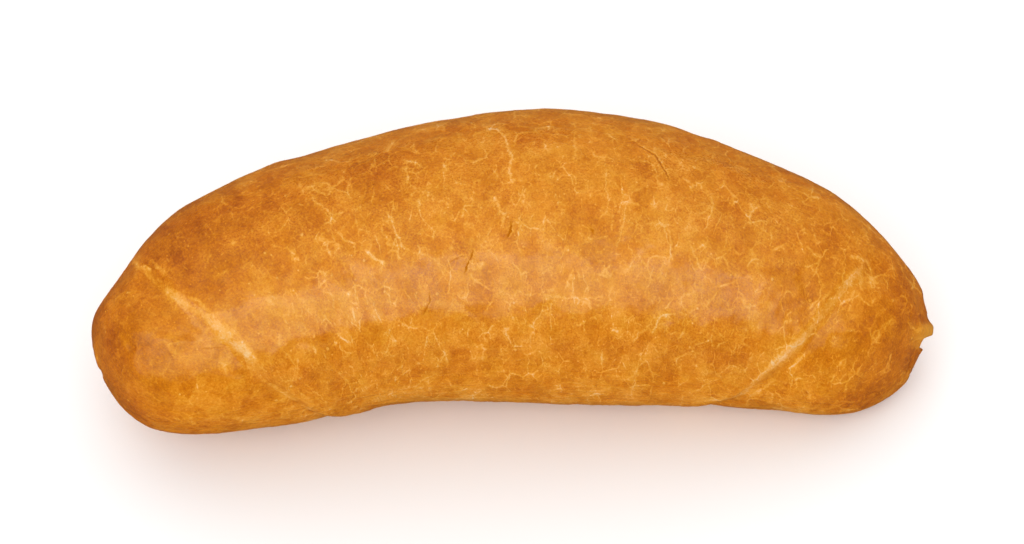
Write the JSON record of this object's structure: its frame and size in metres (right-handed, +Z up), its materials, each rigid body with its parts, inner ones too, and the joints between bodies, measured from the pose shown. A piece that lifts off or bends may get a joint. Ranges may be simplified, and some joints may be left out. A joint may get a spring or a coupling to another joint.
{
  "type": "crescent bread roll",
  "caption": "Smooth egg-washed crescent roll of soft bread, gently bent, with blunt tips, two slanted wrap edges and a flat baked base to rest on.",
  "frame": {"origin": "middle of the bottom of the bounding box, on the surface that the roll rests on", "axes": "+X from the left tip to the right tip, +Y towards the rounded back, -Y towards the hollow front, +Z up"},
  "size_m": [0.1564, 0.064, 0.0464],
  "materials": {
    "crust": null
  },
  "bodies": {
    "root": {"crescent_roll": "crust"}
  },
  "joints": []
}
